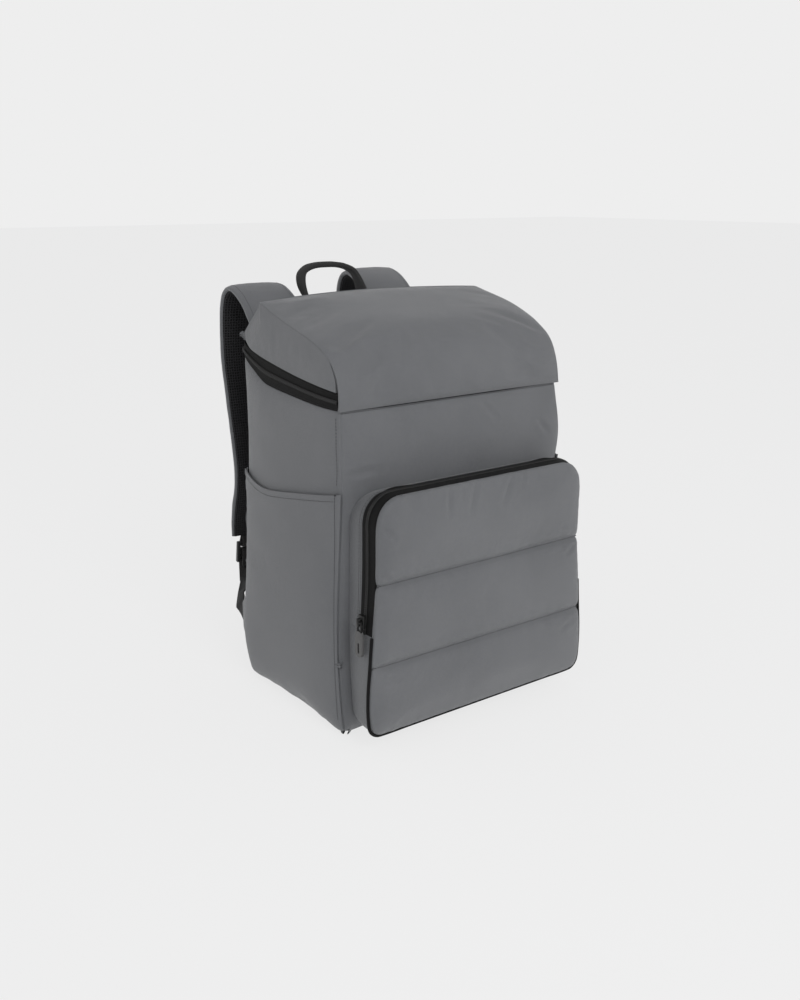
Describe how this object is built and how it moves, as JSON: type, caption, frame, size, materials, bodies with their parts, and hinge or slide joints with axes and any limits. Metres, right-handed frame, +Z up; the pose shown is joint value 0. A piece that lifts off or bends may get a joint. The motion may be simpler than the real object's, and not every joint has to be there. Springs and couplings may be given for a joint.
{
  "type": "cooler backpack",
  "caption": "Insulated backpack with a domed zip lid, a quilted zip pocket in front, padded shoulder straps with ladder locks, and a webbing carry handle",
  "frame": {"origin": "middle of the flat base that the bag stands on", "axes": "+Z up, -Y the front with the quilted pocket, +Y the side with the straps, -X the left side in the picture"},
  "size_m": [0.3098, 0.3494, 0.458],
  "materials": {
    "shell": "satin woven nylon over foam, mid grey",
    "tape": "black woven zip tape with a nylon coil",
    "air_mesh": "black open spacer mesh",
    "webbing": "dark ribbed webbing",
    "moulded": "black moulded plastic, slightly satin",
    "zip_metal": "black coated die-cast metal",
    "pull_grip": "grey soft moulded rubber"
  },
  "bodies": {
    "root": {"front_panel": "shell", "back_panel": "shell", "side_panel_left": "shell", "side_panel_right": "shell", "base_panel": "shell", "main_zip_lower_tape": "tape", "main_zip_upper_tape": "tape", "main_zip_coil": "tape", "lid_cover": "shell", "lid_back_panel": "shell", "lid_gusset_left": "shell", "lid_gusset_right": "shell", "slip_pocket_left": "shell", "slip_pocket_right": "shell", "pocket_face": "shell", "pocket_gusset_upper": "shell", "pocket_gusset_lower": "shell", "pocket_zip_rear_tape": "tape", "pocket_zip_front_tape": "tape", "pocket_zip_coil": "tape", "pocket_piping": "tape", "pocket_zip_slider": "zip_metal", "main_zip_slider": "zip_metal", "strap_pad_left": "shell", "strap_lining_left": "air_mesh", "strap_pad_right": "shell", "strap_lining_right": "air_mesh", "ladder_lock_left": "moulded", "ladder_lock_right": "moulded", "lock_loop_left": "webbing", "lock_loop_right": "webbing", "anchor_tab_left": "shell", "anchor_tab_right": "shell", "strap_webbing_left": "webbing", "strap_webbing_right": "webbing", "carry_handle": "webbing"},
    "pocket_pull": {"pocket_zip_link": "zip_metal", "pocket_zip_grip": "pull_grip"},
    "main_pull": {"main_zip_link": "zip_metal", "main_zip_grip": "pull_grip"}
  },
  "joints": [
    {"name": "pocket_pull_hinge", "type": "hinge", "parent": "root", "child": "pocket_pull", "pos_m": [-0.1434, -0.13088, 0.141], "axis": [0, 1, 0], "range_deg": [0, 150]},
    {"name": "main_pull_hinge", "type": "hinge", "parent": "root", "child": "main_pull", "pos_m": [0.14855, -0.052, 0.34931], "axis": [0, 0.0839, -0.9965], "range_deg": [0, 150]}
  ]
}
